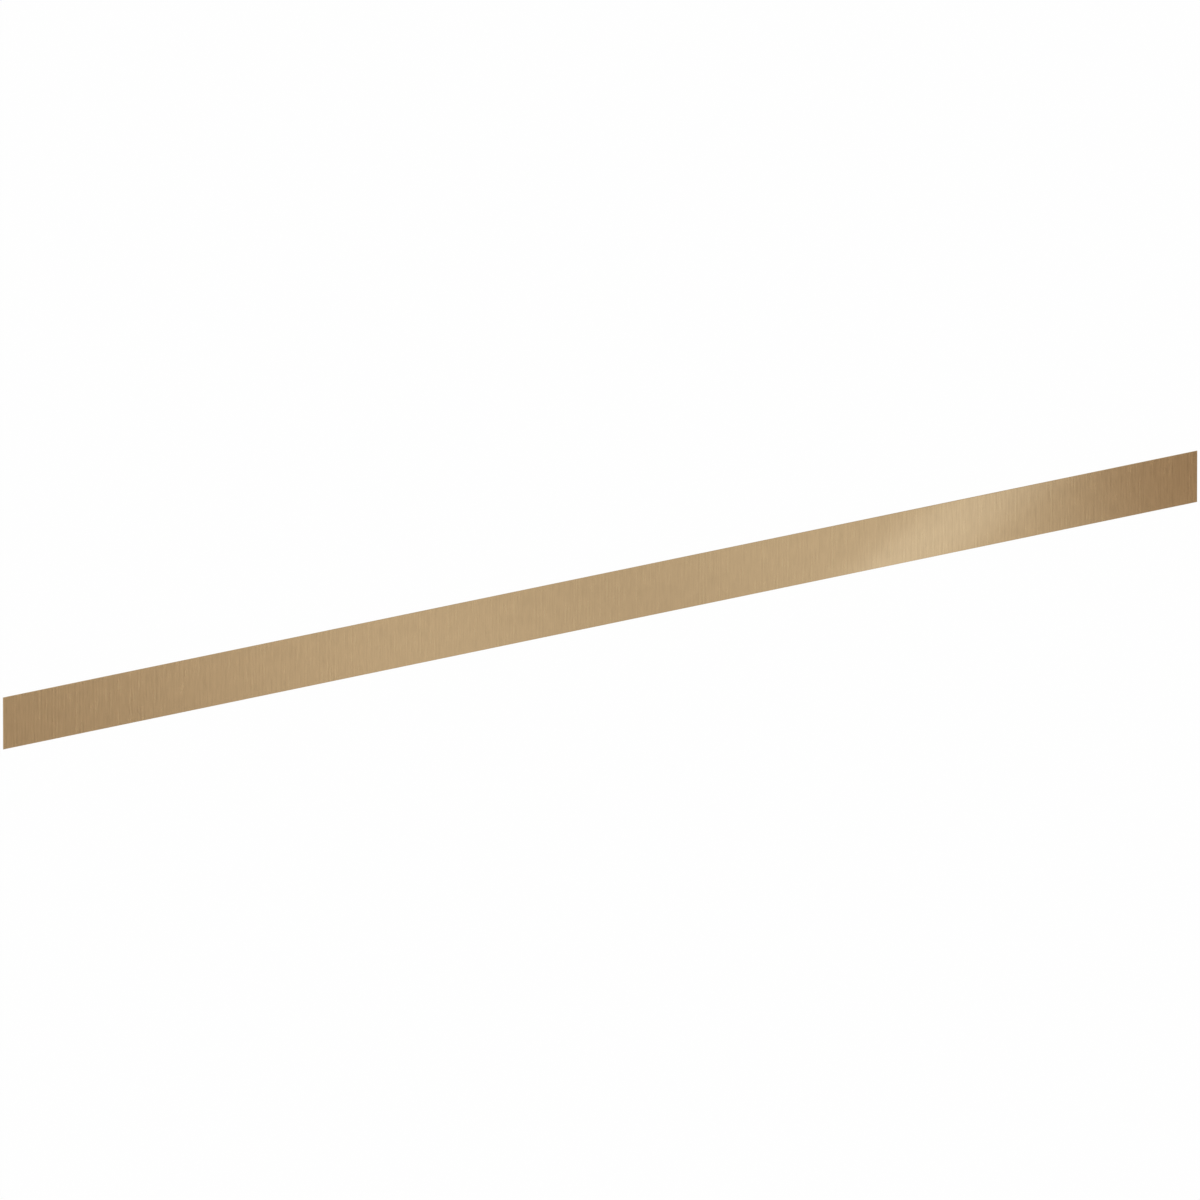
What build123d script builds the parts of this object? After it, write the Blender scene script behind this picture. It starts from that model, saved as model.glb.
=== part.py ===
from build123d import *
import math
import os

# A flat-bar towel rail that stands off the wall on two concealed posts.
# Millimetres. X runs along the rail, Y points into the wall, Z is up.
# The wall is the plane y = 0, and the origin lies midway between the two wall screws.

# Flat bar
rail_length = 900.0
rail_height = 35.0
rail_thickness = 5.0
edge_land = 0.6               # thickness left at the rim, in front of the bevelled back
front_edge_break = 0.2
projection = 42.0             # wall to the front face of the bar
post_from_end = 100.0         # end of the bar to the axis of the post

# Seats in the back of the bar
seat_depth = 0.8
seat_clearance = 0.05         # all round the post
seat_rim = 0.6                # flat left between a seat and the lower bevel
front_skin = 0.9              # metal left in front of a tapped hole

# Screw that pulls a post to the bar
post_screw_size = 4.0
post_screw_head = 7.0
post_screw_head_height = 4.0
post_screw_head_break = 0.4
post_screw_point_break = 0.4
post_screw_end_gap = 0.3      # free thread past the point of the screw
post_screw_key = 3.0
post_screw_key_depth = 2.0

# Post
head_clearance = 0.5          # all round the screw head
screw_hole_clearance = 0.15   # all round the screw
post_wall = 2.0
post_front_wall = 5.0
post_end_break = 0.4

# Boss on the wall
boss_fit = 0.1                # all round the boss
boss_length = 14.0
boss_lead_in = 0.2
wall_screw_hole = 3.6
countersink_rim = 0.4
groove_from_wall = 7.0
groove_depth = 1.2            # the flanks of the groove are at 45 degrees

# Set screw that locks a post on its boss
grub_size = 4.0
grub_tip = 0.4
grub_seat_gap = 0.05
grub_recess = 0.1             # set below the skin of the post
grub_key = 2.0
grub_key_depth = 1.2

thread_fit = 0.05             # all round every thread
cut_past = 1.0                # how far a cutter runs out of the metal

# Sizes that follow
bevel = rail_thickness - edge_land
bore_radius = post_screw_head / 2 + head_clearance
post_radius = bore_radius + post_wall
seat_radius = post_radius + seat_clearance
boss_radius = bore_radius - boss_fit

# Places along X and Z
post_place = rail_length / 2 - post_from_end
post_places = {"left": -post_place, "right": post_place}
bar_bottom = -(seat_radius + seat_rim + bevel)

# Places along Y, from the front of the bar to the wall
bar_front = -projection
thread_floor = bar_front + front_skin
screw_point = thread_floor + post_screw_end_gap
bar_back = bar_front + rail_thickness
seat_floor = bar_back - seat_depth
head_seat = seat_floor + post_front_wall
head_end = head_seat + post_screw_head_height
boss_front = -boss_length
groove_place = -groove_from_wall


def turned(outline):
    """Turn an outline of (radius, place along Y) points round the Y axis."""
    return revolve(make_face(Polyline(*outline, close=True)), axis=Axis.Y)


def key_socket(across_flats, floor, mouth):
    """Hexagonal socket along Y, from its floor to its mouth."""
    plane = Plane(origin=(0, floor, 0), x_dir=(1, 0, 0), z_dir=(0, 1, 0))
    hexagon = RegularPolygon(across_flats / 2, 6, major_radius=False)
    return extrude(plane * hexagon, mouth - floor)


def seat_cutter():
    """The post's seat in the back of the bar, with the tapped hole in its floor."""
    thread_radius = post_screw_size / 2
    return turned([
        (0, thread_floor),
        (thread_radius, thread_floor),
        (thread_radius, seat_floor),
        (seat_radius, seat_floor),
        (seat_radius, bar_back + cut_past),
        (0, bar_back + cut_past),
    ])


def rail_bar():
    """Flat bar whose back is bevelled all round, so that only a thin rim shows from the front."""
    middle = Pos(0, bar_front + rail_thickness / 2, bar_bottom + rail_height / 2)
    bar = middle * Box(rail_length, rail_thickness, rail_height)
    bar = chamfer(bar.faces().sort_by(Axis.Y)[-1].edges(), bevel)
    bar = chamfer(bar.faces().sort_by(Axis.Y)[0].edges(), front_edge_break)
    for place in post_places.values():
        bar -= Pos(place, 0, 0) * seat_cutter()
    return bar


def post():
    """Turned post with a stepped bore and a tapped hole underneath for the set screw."""
    hole_radius = post_screw_size / 2 + screw_hole_clearance
    body = turned([
        (hole_radius, seat_floor),
        (post_radius, seat_floor),
        (post_radius, -post_end_break),
        (post_radius - post_end_break, 0),
        (bore_radius, 0),
        (bore_radius, head_seat),
        (hole_radius, head_seat),
    ])
    below = (Align.CENTER, Align.CENTER, Align.MAX)
    grub_hole = Cylinder(grub_size / 2, post_radius + cut_past, align=below)
    return body - Pos(0, groove_place, 0) * grub_hole


def post_screw():
    """Socket-head screw from inside the post into the bar."""
    shank_radius = post_screw_size / 2 - thread_fit
    head_radius = post_screw_head / 2
    body = turned([
        (0, screw_point),
        (shank_radius - post_screw_point_break, screw_point),
        (shank_radius, screw_point + post_screw_point_break),
        (shank_radius, head_seat),
        (head_radius, head_seat),
        (head_radius, head_end - post_screw_head_break),
        (head_radius - post_screw_head_break, head_end),
        (0, head_end),
    ])
    return body - key_socket(post_screw_key, head_end - post_screw_key_depth, head_end)


def wall_boss():
    """Turned boss with a countersunk hole for the wall screw and a groove for the set screw."""
    hole_radius = wall_screw_hole / 2
    countersink_radius = boss_radius - countersink_rim
    countersink_floor = boss_front + countersink_radius - hole_radius
    return turned([
        (hole_radius, 0),
        (boss_radius, 0),
        (boss_radius, groove_place + groove_depth),
        (boss_radius - groove_depth, groove_place),
        (boss_radius, groove_place - groove_depth),
        (boss_radius, boss_front + boss_lead_in),
        (boss_radius - boss_lead_in, boss_front),
        (countersink_radius, boss_front),
        (hole_radius, countersink_floor),
    ])


def grub_screw():
    """Cone-point set screw, pointing up into the groove of the boss from under the post."""
    body_radius = grub_size / 2 - thread_fit
    tip_radius = grub_tip / 2
    groove_floor = boss_radius - groove_depth
    tip = groove_floor + grub_seat_gap * math.sqrt(2) + tip_radius
    shoulder = tip + body_radius - tip_radius
    end = post_radius - grub_recess
    body = turned([
        (0, tip),
        (tip_radius, tip),
        (body_radius, shoulder),
        (body_radius, end),
        (0, end),
    ])
    screw = body - key_socket(grub_key, end - grub_key_depth, end)
    return Pos(0, groove_place, 0) * Rot(X=-90) * screw


def write_parts():
    """Write each piece to a file of its own."""
    os.makedirs("parts", exist_ok=True)
    export_step(rail_bar(), "parts/rail_bar.step")
    pieces = {
        "post": post(),
        "post_screw": post_screw(),
        "wall_boss": wall_boss(),
        "grub_screw": grub_screw(),
    }
    for side, place in post_places.items():
        for name, piece in pieces.items():
            export_step(Pos(place, 0, 0) * piece, f"parts/{side}_{name}.step")


write_parts()
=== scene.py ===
import math
from functools import partial

import bpy
from mathutils import Matrix, Vector


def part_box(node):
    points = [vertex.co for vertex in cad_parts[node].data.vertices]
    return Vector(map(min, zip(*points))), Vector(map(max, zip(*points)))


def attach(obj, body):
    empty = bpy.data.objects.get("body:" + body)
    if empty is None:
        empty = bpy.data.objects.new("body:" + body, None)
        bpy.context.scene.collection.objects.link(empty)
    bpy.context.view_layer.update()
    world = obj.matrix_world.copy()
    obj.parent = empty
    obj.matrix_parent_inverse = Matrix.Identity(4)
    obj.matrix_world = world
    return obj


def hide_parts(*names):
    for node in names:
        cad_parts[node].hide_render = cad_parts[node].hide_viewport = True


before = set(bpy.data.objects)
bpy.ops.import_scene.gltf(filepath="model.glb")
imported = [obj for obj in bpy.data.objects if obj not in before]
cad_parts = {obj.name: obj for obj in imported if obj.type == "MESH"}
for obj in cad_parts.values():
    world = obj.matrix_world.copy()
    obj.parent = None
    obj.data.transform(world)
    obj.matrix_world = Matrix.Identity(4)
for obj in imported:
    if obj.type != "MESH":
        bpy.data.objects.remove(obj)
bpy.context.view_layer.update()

# The bar's front face and the place of the posts, as the frame gives them
bar_low, bar_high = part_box("rail_bar")
rail_length = bar_high.x - bar_low.x
face_centre = Vector((0, bar_low.y, (bar_low.z + bar_high.z) / 2))
post_low, post_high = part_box("right_post")
post_place = (post_low.x + post_high.x) / 2
origin = (0, 0, 0)
millimetres = 1000.0          # to the metre

# Camera: seen from the left and a little above, through a very long lens
camera_azimuth = math.radians(-31.89)
camera_elevation = math.radians(19.44)
half_angle = math.radians(0.65)                # from the middle of the frame to its side
frame_width = 0.768                            # metres that the frame takes in at the bar
frame_nudge = Vector((-0.0003, 0, 0.00008))    # puts the bar in the frame to part of a pixel

# Surroundings, in metres and in shares of white
floor_drop = 1.1              # from the bar to the floor
floor_size = 30.0
floor_colour = (0.80, 0.79, 0.77)
floor_lift = 0.98             # share of plain white where the floor shows as background
room_light = 0.84             # white walls as a source of light
white = (1, 1, 1)
daylight = (0.87, 1.0, 1.13)
cool_light = (0.75, 0.97, 1.32)
left_card_colour = (0.885, 0.81, 0.75)
right_card_colour = (0.775, 0.67, 0.59)

# Metal colours, in picture levels
bronze_colour = (181, 155, 118)
turned_colour = (173, 148, 112)
brass_colour = (199, 168, 102)
steel_colour = (158, 158, 156)

# Brushing and turning, with depths in metres
face_limit = 0.9              # a face of the bar points further along Y than this
bevel_limit = 0.5             # a long bevel points further along Z than this
short_line_share = 0.45       # of the brush lines, the rest are long
line_contrast = 0.137
cloud_contrast = 0.04
end_line_shading = 0.75               # how much stronger the brush lines' painted shading is at the ends of the bar
brush_depth = 0.00005
end_limit = 0.5               # the end of a turned piece points further along Y than this
coarse_share = 0.4            # of the rings, the rest are fine
coarse_rings = 5              # width of a coarse ring in fine ones
turning_depth = 0.000003

# Screws, in metres
segments = 72                 # points round a screw: a hexagon's corners fall on them
rows_to_a_turn = 10
thread_pitch = 0.0007
thread_depth = 0.0004
thread_crest = 0.2            # share of half a pitch that is flat on the crest
thread_flank = 0.6            # share of half a pitch that slopes
screw_head_height = 0.004
screw_break = 0.0004          # bevel at the point and at the top of the head
knurl_depth = 0.00012
post_screw_key = 0.003
post_screw_key_depth = 0.002
grub_tip_radius = 0.0002
grub_key = 0.002
grub_key_depth = 0.0012
socket_break = 0.00012
socket_drill = 0.98           # diameter of the drilled floor as a share of the key size
drill_point = 0.0003          # how far the point of the drill goes below a socket
sharp_angle = math.radians(35)


def new_object(name, data):
    """An object that is part of the scene."""
    made = bpy.data.objects.new(name, data)
    bpy.context.scene.collection.objects.link(made)
    return made


def set_up_camera():
    """Long-lens camera whose frame is filled by the bar from end to end."""
    towards = Vector((
        math.sin(camera_azimuth) * math.cos(camera_elevation),
        -math.cos(camera_azimuth) * math.cos(camera_elevation),
        math.sin(camera_elevation),
    ))
    distance = frame_width / 2 / math.tan(half_angle)
    # The near end looks a little larger, so the middle of the picture lies left of the middle of the bar
    end_depth = rail_length / 2 * -towards.x
    aim = face_centre + frame_nudge - Vector((rail_length / 2 * end_depth / distance, 0, 0))
    data = bpy.data.cameras.new("camera")
    data.sensor_width = 36.0
    data.lens = data.sensor_width / 2 / math.tan(half_angle)
    data.clip_end = 200.0
    camera = new_object("camera", data)
    camera.location = aim + towards * distance
    camera.rotation_euler = (-towards).to_track_quat("-Z", "Y").to_euler()
    bpy.context.scene.camera = camera
    bpy.context.scene.view_settings.view_transform = "Standard"


def linear(colour):
    """A colour given in picture levels of 0 to 255, as the shader wants it."""
    def decode(level):
        # The standard curve of picture levels
        share = level / 255
        return share / 12.92 if share <= 0.04045 else ((share + 0.055) / 1.055) ** 2.4
    return tuple(decode(level) for level in colour)


class Tree:
    """A material's nodes, with short calls to add and join them."""

    def __init__(self, name):
        self.material = bpy.data.materials.new(name)
        self.material.use_nodes = True
        self.nodes = self.material.node_tree.nodes
        self.links = self.material.node_tree.links
        self.shader = self.nodes["Principled BSDF"]

    def node(self, kind, **settings):
        """A new node with some of its settings."""
        made = self.nodes.new(kind)
        for name, value in settings.items():
            setattr(made, name, value)
        return made

    def put(self, value, socket):
        """Join an output to a socket, or write a plain value on it."""
        if isinstance(value, bpy.types.NodeSocket):
            self.links.new(value, socket)
        else:
            socket.default_value = value

    def joined(self, kind, *values, **settings):
        """The output of a new node whose first sockets get these values."""
        made = self.node(kind, **settings)
        for socket, value in zip(made.inputs, values):
            self.put(value, socket)
        return made.outputs[0]

    def maths(self, operation, first, second=0.0, third=0.0):
        """The result of a sum on up to three numbers."""
        return self.joined("ShaderNodeMath", first, second, third, operation=operation)

    def mix(self, share, first, second):
        """Two numbers mixed by a share of the second."""
        made = self.node("ShaderNodeMix", data_type="FLOAT")
        self.put(share, made.inputs["Factor"])
        self.put(first, made.inputs["A"])
        self.put(second, made.inputs["B"])
        return made.outputs["Result"]

    def blend(self, share, first, second):
        """Two surfaces mixed by a share of the second."""
        return self.joined("ShaderNodeMixShader", share, first, second)

    def split(self, vector):
        """X, Y and Z of a vector."""
        made = self.node("ShaderNodeSeparateXYZ")
        self.put(vector, made.inputs[0])
        return made.outputs

    def place(self):
        """The point on the piece in millimetres, as separate X, Y and Z."""
        coordinates = self.node("ShaderNodeTexCoord")
        scaled = self.node("ShaderNodeVectorMath", operation="SCALE")
        scaled.inputs["Scale"].default_value = millimetres
        self.put(coordinates.outputs["Object"], scaled.inputs[0])
        return self.split(scaled.outputs[0])

    def facing(self):
        """How far the surface faces along X, Y and Z, from 0 to 1 each."""
        geometry = self.node("ShaderNodeNewGeometry")
        normal = geometry.outputs["True Normal"]
        return self.split(self.joined("ShaderNodeVectorMath", normal, operation="ABSOLUTE"))

    def streaks(self, across, along, width, length, layer, detail=2.0):
        """Random streaks, from 0 to 1: their width and length in the units of the two coordinates.

        Each layer is another cut through the noise, so two layers don't look alike.
        """
        noise = self.node("ShaderNodeTexNoise", noise_dimensions="3D")
        noise.inputs["Scale"].default_value = 1.0
        noise.inputs["Detail"].default_value = detail
        noise.inputs["Roughness"].default_value = 0.6
        widths_across = self.maths("DIVIDE", across, width)
        lengths_along = self.maths("DIVIDE", along, length)
        point = self.joined("ShaderNodeCombineXYZ", widths_across, lengths_along, layer)
        self.put(point, noise.inputs["Vector"])
        return noise.outputs["Fac"]

    def about(self, middle, swing, value):
        """A value that runs from 0 to 1, spread evenly about a middle."""
        return self.maths("MULTIPLY_ADD", value, 2 * swing, middle - swing)

    def tint(self, colour, share):
        """A colour made lighter or darker by a share about 1."""
        made = self.node("ShaderNodeVectorMath", operation="SCALE")
        made.inputs[0].default_value = linear(colour)
        self.put(share, made.inputs["Scale"])
        self.put(made.outputs[0], self.shader.inputs["Base Color"])

    def rough(self, middle, swing, marks):
        """Roughness that swings about a middle with the tool marks."""
        self.put(self.about(middle, swing, marks), self.shader.inputs["Roughness"])

    def bump(self, height, depth):
        """Tool marks of a depth in metres."""
        made = self.node("ShaderNodeBump")
        made.inputs["Strength"].default_value = 1.0
        made.inputs["Distance"].default_value = depth
        self.put(height, made.inputs["Height"])
        self.put(made.outputs[0], self.shader.inputs["Normal"])

    def metal(self):
        """Bare metal."""
        self.shader.inputs["Metallic"].default_value = 1.0

    def stretch_gloss(self, amount, axis, turn=0.0):
        """Gloss stretched across the tool marks, which run round or along an axis."""
        self.shader.inputs["Anisotropic"].default_value = amount
        self.shader.inputs["Anisotropic Rotation"].default_value = turn
        tangent = self.node("ShaderNodeTangent", direction_type="RADIAL", axis=axis)
        self.put(tangent.outputs[0], self.shader.inputs["Tangent"])

    def matte(self, colour):
        """Dull paint in one plain colour."""
        self.shader.inputs["Base Color"].default_value = (*colour, 1)
        self.shader.inputs["Roughness"].default_value = 0.9
        self.shader.inputs["Specular IOR Level"].default_value = 0.0


def brushed_bronze():
    """Bronze brushed from edge to edge on the faces and lengthwise on the bevels."""
    tree = Tree("brushed_bronze")
    x, y, z = tree.place()
    facing = tree.facing()
    on_face = tree.maths("GREATER_THAN", facing["Y"], face_limit)
    on_long_bevel = tree.maths("GREATER_THAN", facing["Z"], bevel_limit)
    across = tree.mix(on_face, y, x)
    along = tree.mix(on_long_bevel, z, x)
    long_lines = tree.streaks(across, along, width=1.3, length=80.0, layer=0.0, detail=0.0)
    short_lines = tree.streaks(across, along, width=1.2, length=10.0, layer=7.0, detail=0.0)
    cloud = tree.streaks(across, along, width=12.0, length=9.0, layer=15.1)
    marks = tree.mix(short_line_share, long_lines, short_lines)
    # The brush lines' light and dark are painted stronger towards the ends of the bar: painted shading of
    # their relief where the reflected light falls off
    from_middle = tree.maths("DIVIDE", x, rail_length / 2 * millimetres)
    line_shading_share = tree.maths("MULTIPLY_ADD", tree.maths("MULTIPLY", from_middle, from_middle), end_line_shading, 1.0)
    lines = tree.about(0.0, line_contrast, marks)
    shade = tree.about(1.0, cloud_contrast, cloud)
    # The lines' colour swing, with its painted shading towards the ends, and the random cloud of tone
    tree.tint(bronze_colour, tree.maths("MULTIPLY_ADD", lines, line_shading_share, shade))
    tree.rough(middle=0.27, swing=0.012, marks=marks)
    tree.bump(marks, brush_depth)
    tree.metal()
    tree.stretch_gloss(amount=0.75, axis="Z")
    return tree.material


def turned_metal(name, colour, pitch, roughness, contrast):
    """Lathe-turned metal with fine rings round each post's axis."""
    tree = Tree(name)
    x, y, z = tree.place()
    off_axis = tree.maths("SUBTRACT", tree.maths("ABSOLUTE", x), post_place * millimetres)
    off_axis_squared = tree.maths("MULTIPLY", off_axis, off_axis)
    radius = tree.maths("SQRT", tree.maths("MULTIPLY_ADD", z, z, off_axis_squared))
    on_end = tree.maths("GREATER_THAN", tree.facing()["Y"], end_limit)
    across = tree.mix(on_end, y, radius)
    angle = tree.maths("ARCTAN2", z, off_axis)
    fine = tree.streaks(across, angle, width=pitch, length=2.5, layer=3.7)
    coarse = tree.streaks(across, angle, width=pitch * coarse_rings, length=4.0, layer=9.2)
    marks = tree.mix(coarse_share, fine, coarse)
    tree.tint(colour, tree.about(1.0, contrast, marks))
    tree.rough(middle=roughness, swing=0.08, marks=marks)
    tree.bump(marks, turning_depth)
    tree.metal()
    tree.stretch_gloss(amount=0.6, axis="Y", turn=0.25)
    return tree.material


def stainless():
    """Plain stainless steel of the screws, a little uneven from rolling."""
    tree = Tree("stainless_steel")
    place = tree.place()
    grain = tree.streaks(place["X"], place["Y"], width=0.6, length=0.6, layer=1.0)
    tree.tint(steel_colour, tree.about(middle=1.0, swing=0.12, value=grain))
    tree.rough(middle=0.33, swing=0.1, marks=grain)
    tree.metal()
    return tree.material


def ring(place, radius):
    """Points round a screw at a place along its axis. The radius may be a function of the angle."""
    points = []
    for step in range(segments):
        angle = 2 * math.pi * step / segments
        reach = radius(angle) if callable(radius) else radius
        points.append(Vector((reach * math.cos(angle), reach * math.sin(angle), place)))
    return points


def threaded(radius, depth, place, angle):
    """Radius of a right-hand thread with flat crests, flat roots and straight flanks."""
    turns = place / thread_pitch - angle / (2 * math.pi)
    from_crest = abs(turns % 1 * 2 - 1)
    groove = min(max((from_crest - thread_crest) / thread_flank, 0), 1)
    return radius - depth * groove


def thread(radius, start, end):
    """Rings of a thread that runs out over half a turn at each end."""
    rows = math.ceil((end - start) / thread_pitch * rows_to_a_turn)
    rings = []
    for row in range(rows + 1):
        place = start + (end - start) * row / rows
        from_end = min(place - start, end - place)
        depth = thread_depth * min(from_end / (thread_pitch / 2), 1)
        rings.append(ring(place, partial(threaded, radius, depth, place)))
    return rings


def knurled(radius, angle):
    """Radius of a knurled head, with a flute to every second point."""
    return radius - knurl_depth * (1 - math.cos(angle * segments / 2)) / 2


def hexagon(across_flats, angle):
    """Radius of a hexagon with a corner at angle 0."""
    side = math.pi / 3
    return across_flats / 2 / math.cos(angle % side - side / 2)


def socket(end, across_flats, depth):
    """Rings of a hexagonal socket, from its rim at the end of a screw to its floor."""
    corner = hexagon(across_flats, 0)
    return [
        ring(end, corner + socket_break),
        ring(end - socket_break, partial(hexagon, across_flats)),
        ring(end - depth, partial(hexagon, across_flats)),
        ring(end - depth, across_flats / 2 * socket_drill),
    ]


def skin(rings, floor):
    """Points and faces of a closed skin over rings, from the tip of a screw to the floor of its socket."""
    points = [Vector((0, 0, 0))]
    for points_round in rings:
        points += points_round
    points.append(Vector((0, 0, floor)))
    last = 1 + (len(rings) - 1) * segments
    faces = []
    for step in range(segments):
        following = (step + 1) % segments
        faces.append((0, 1 + following, 1 + step))
        for lower in range(1, last, segments):
            upper = lower + segments
            faces.append((lower + step, lower + following, upper + following, upper + step))
        faces.append((len(points) - 1, last + step, last + following))
    return points, faces


def screw(node, rings, floor, place, turn, steel):
    """A screw with its thread and socket, which takes the place of its plain solid."""
    points, faces = skin(rings, floor)
    mesh = bpy.data.meshes.new(f"{node}_threaded")
    mesh.from_pydata([Vector(place) + turn @ point for point in points], [], faces)
    mesh.shade_smooth()
    mesh.set_sharp_from_angle(angle=sharp_angle)
    mesh.materials.append(steel)
    piece = new_object(f"{node}_threaded", mesh)
    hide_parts(node)
    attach(piece, "root")


def post_screw(node, radius, steel):
    """Socket-head screw with a threaded shank and a knurled head, its point towards the room."""
    low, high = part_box(node)
    length = high.y - low.y
    shank = length - screw_head_height
    head_radius = (high.x - low.x) / 2
    rings = [ring(0, radius - screw_break)]
    rings += thread(radius, screw_break, shank)
    rings += [
        ring(shank, head_radius - knurl_depth),
        ring(shank + knurl_depth, partial(knurled, head_radius)),
        ring(length - screw_break, partial(knurled, head_radius)),
        ring(length, head_radius - screw_break),
    ]
    rings += socket(length, post_screw_key, post_screw_key_depth)
    point = ((low.x + high.x) / 2, low.y, (low.z + high.z) / 2)
    floor = length - post_screw_key_depth - drill_point
    screw(node, rings, floor, point, Matrix.Rotation(math.radians(-90), 3, "X"), steel)


def grub_screw(node, radius, steel):
    """Threaded set screw with a cone point, which points up."""
    low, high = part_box(node)
    length = high.z - low.z
    rings = [ring(0, grub_tip_radius)]
    rings += thread(radius, radius - grub_tip_radius, length)
    rings += socket(length, grub_key, grub_key_depth)
    tip = ((low.x + high.x) / 2, (low.y + high.y) / 2, high.z)
    floor = length - grub_key_depth - drill_point
    screw(node, rings, floor, tip, Matrix.Rotation(math.radians(180), 3, "X"), steel)


def make_screws(steel):
    """The screws on both sides, all with the same thread."""
    low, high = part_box("left_grub_screw")
    radius = (high.x - low.x) / 2
    for side in ("left", "right"):
        post_screw(f"{side}_post_screw", radius, steel)
        grub_screw(f"{side}_grub_screw", radius, steel)


def dress(material, *names):
    """Give pieces of the frame a finish."""
    for name in names:
        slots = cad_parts[name].data.materials
        slots.clear()
        slots.append(material)


def background_rays(nodes, links):
    """1 for the rays that show the background: straight to the camera, off metal or through glass."""
    rays = nodes.new("ShaderNodeLightPath")
    shown = rays.outputs["Is Camera Ray"]
    for name in ("Is Glossy Ray", "Is Transmission Ray"):
        either = nodes.new("ShaderNodeMath")
        either.operation = "MAXIMUM"
        links.new(shown, either.inputs[0])
        links.new(rays.outputs[name], either.inputs[1])
        shown = either.outputs[0]
    return shown


def set_up_world():
    """White surroundings, softer as a source of light than as a background."""
    world = bpy.data.worlds.new("surroundings")
    world.use_nodes = True
    bpy.context.scene.world = world
    nodes = world.node_tree.nodes
    links = world.node_tree.links
    strength = nodes.new("ShaderNodeMapRange")
    strength.inputs["To Min"].default_value = room_light
    strength.inputs["To Max"].default_value = 1.0
    links.new(background_rays(nodes, links), strength.inputs["Value"])
    links.new(strength.outputs[0], nodes["Background"].inputs["Strength"])
    nodes["Background"].inputs["Color"].default_value = (*white, 1)


def pale_floor():
    """Dull pale paint, shown as white and open from underneath."""
    tree = Tree("pale_floor")
    tree.matte(floor_colour)
    glow = tree.node("ShaderNodeEmission")
    glow.inputs["Color"].default_value = (*white, 1)
    clear = tree.node("ShaderNodeBsdfTransparent")
    geometry = tree.node("ShaderNodeNewGeometry")
    lift = tree.maths("MULTIPLY", background_rays(tree.nodes, tree.links), floor_lift)
    lifted = tree.blend(lift, tree.shader.outputs[0], glow.outputs[0])
    one_sided = tree.blend(geometry.outputs["Backfacing"], lifted, clear.outputs[0])
    tree.put(one_sided, tree.nodes["Material Output"].inputs["Surface"])
    return tree.material


def panel(name, corners, material):
    """Flat piece of the studio with four corners."""
    mesh = bpy.data.meshes.new(name)
    mesh.from_pydata(corners, [], [(0, 1, 2, 3)])
    mesh.materials.append(material)
    return new_object(name, mesh)


def set_up_floor():
    """Pale floor far below the rail."""
    half = floor_size / 2
    corners = [(-half, -half, 0), (half, -half, 0), (half, half, 0), (-half, half, 0)]
    floor = panel("floor", corners, pale_floor())
    floor.location = (0, 0, bar_low.z - floor_drop)


def soft_box(name, place, width, height, radiance, target=origin, colour=white, lean=0.0):
    """Rectangular soft light with an even face, turned to a target."""
    data = bpy.data.lights.new(name, "AREA")
    data.shape = "RECTANGLE"
    data.size = width
    data.size_y = height
    data.energy = radiance * math.pi * width * height
    data.color = colour
    lamp = new_object(name, data)
    aim = (Vector(target) - Vector(place)).to_track_quat("-Z", "Y").to_matrix().to_4x4()
    lamp.matrix_world = Matrix.Translation(place) @ aim @ Matrix.Rotation(lean, 4, "Z")
    lamp.visible_camera = False


def mirrored(along, depth):
    """The place in front of the bar that a point along its face mirrors to the camera."""
    right = math.tan(-camera_azimuth)
    down = math.tan(camera_elevation) / math.cos(camera_azimuth)
    return face_centre + Vector((along + depth * right, -depth, -depth * down))


def mirrored_box(name, left, right, height, radiance, colour, lean):
    """Soft box whose reflection runs from a left to a right place on the bar's face.

    Each place is a distance along the bar and a depth in front of it.
    The lean slants the ends of the reflection.
    """
    left_end = mirrored(*left)
    right_end = mirrored(*right)
    span = right_end - left_end
    middle = (left_end + right_end) / 2
    away = span.cross(Vector((0, 0, 1)))
    width = span.length * math.cos(lean)
    soft_box(name, middle, width, height, radiance, middle - away, colour, lean)


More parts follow.
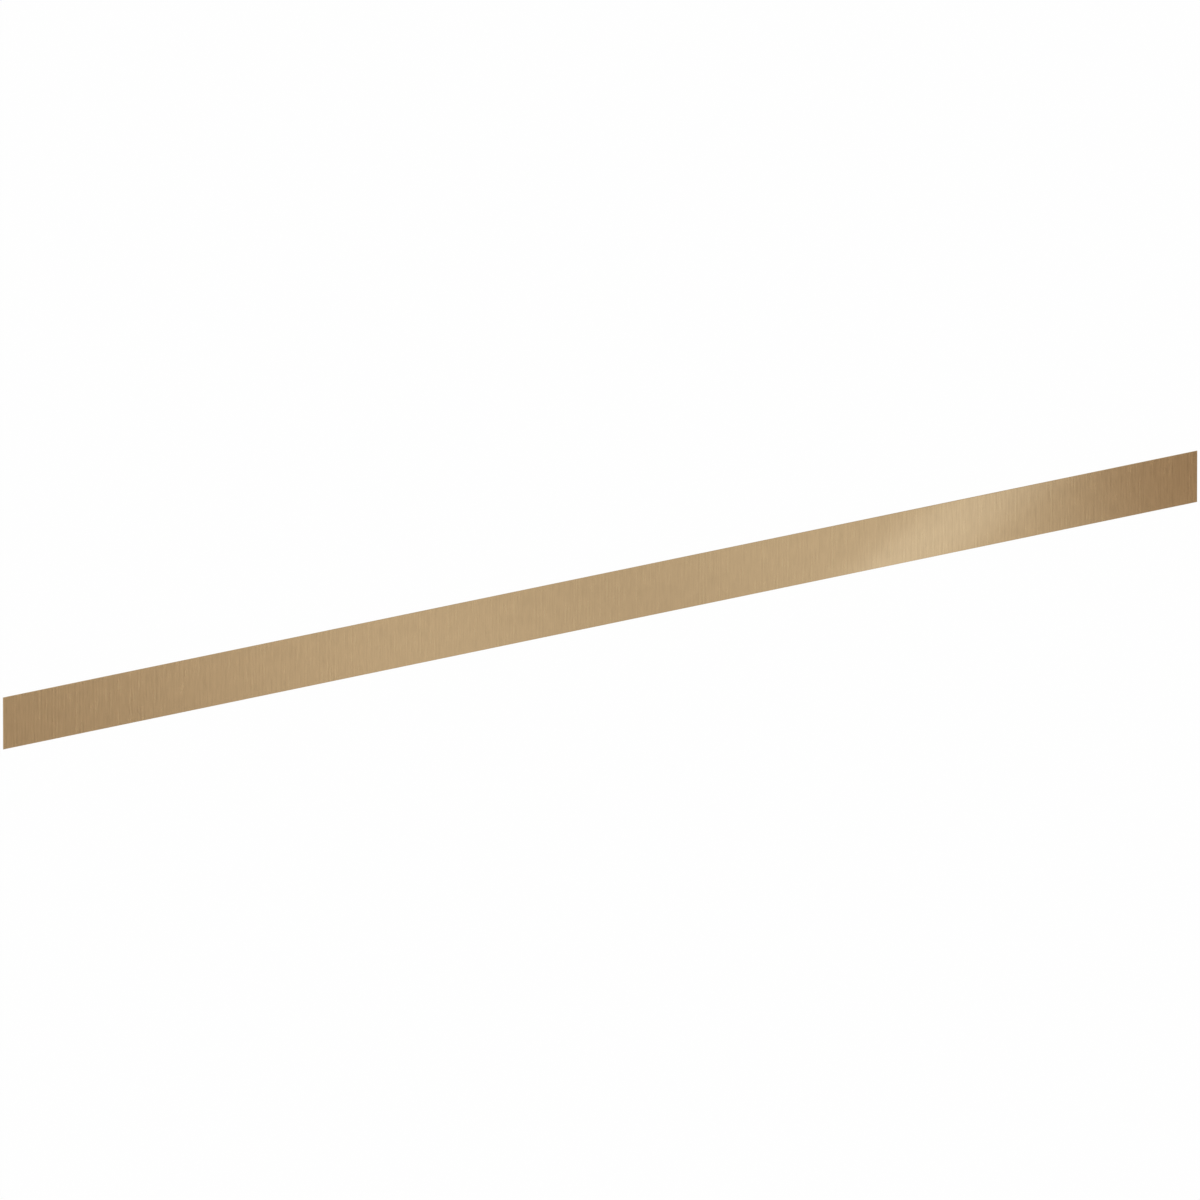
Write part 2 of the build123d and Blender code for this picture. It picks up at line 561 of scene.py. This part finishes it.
def studio_card(name, left, right, height, colour, lean):
    """Dull card whose reflection runs from a left to a right place on the line of the bar's face."""
    left_end = mirrored(*left)
    right_end = mirrored(*right)
    sideways = (right_end - left_end).normalized()
    up = Vector((0, 0, height / 2)) + sideways * height / 2 * math.tan(lean)
    tree = Tree(name)
    tree.matte(colour)
    corners = [left_end - up, right_end - up, right_end + up, left_end + up]
    card = panel(name, corners, tree.material)
    card.visible_camera = False


def set_up_front_lights():
    """Soft boxes and cards that the bar's face mirrors."""
    mirrored_box(
        "left_soft_box", left=(-0.40, 0.50), right=(-0.04, 0.30), height=1.0,
        radiance=0.305, colour=daylight, lean=math.radians(45),
    )
    mirrored_box(
        "right_soft_box", left=(0.06, 0.30), right=(0.34, 0.20), height=0.6,
        radiance=0.205, colour=daylight, lean=math.radians(45),
    )
    mirrored_box(
        "strip_light", left=(0.205, 0.05), right=(0.31, 0.08), height=0.5,
        radiance=0.37, colour=cool_light, lean=math.radians(-68),
    )
    studio_card(
        "left_card", left=(-1.02, 0.55), right=(-0.22, 0.55), height=1.0,
        colour=left_card_colour, lean=math.radians(-30),
    )
    studio_card(
        "right_card", left=(0.37, 0.21), right=(1.17, 0.21), height=1.0,
        colour=right_card_colour, lean=math.radians(-25),
    )


def set_up_other_lights():
    """Two soft boxes behind the bar for its back, and one overhead."""
    soft_box("back_right_box", place=(0.5, 1.3, -0.35), width=1.2, height=0.7, radiance=0.3)
    soft_box("back_left_box", place=(-0.7, 1.3, -0.35), width=1.0, height=0.7, radiance=0.2)
    soft_box("overhead", place=(0, 0.5, 1.8), width=3.2, height=1.2, radiance=0.45)


def dress_metal():
    """Finishes of the bar, the posts and the bosses."""
    dress(brushed_bronze(), "rail_bar")
    post_finish = turned_metal("turned_bronze", turned_colour, pitch=0.18, roughness=0.28, contrast=0.12)
    dress(post_finish, "left_post", "right_post")
    boss_finish = turned_metal("plain_brass", brass_colour, pitch=0.3, roughness=0.34, contrast=0.15)
    dress(boss_finish, "left_wall_boss", "right_wall_boss")


set_up_camera()
set_up_world()
set_up_floor()
set_up_front_lights()
set_up_other_lights()
dress_metal()
make_screws(stainless())
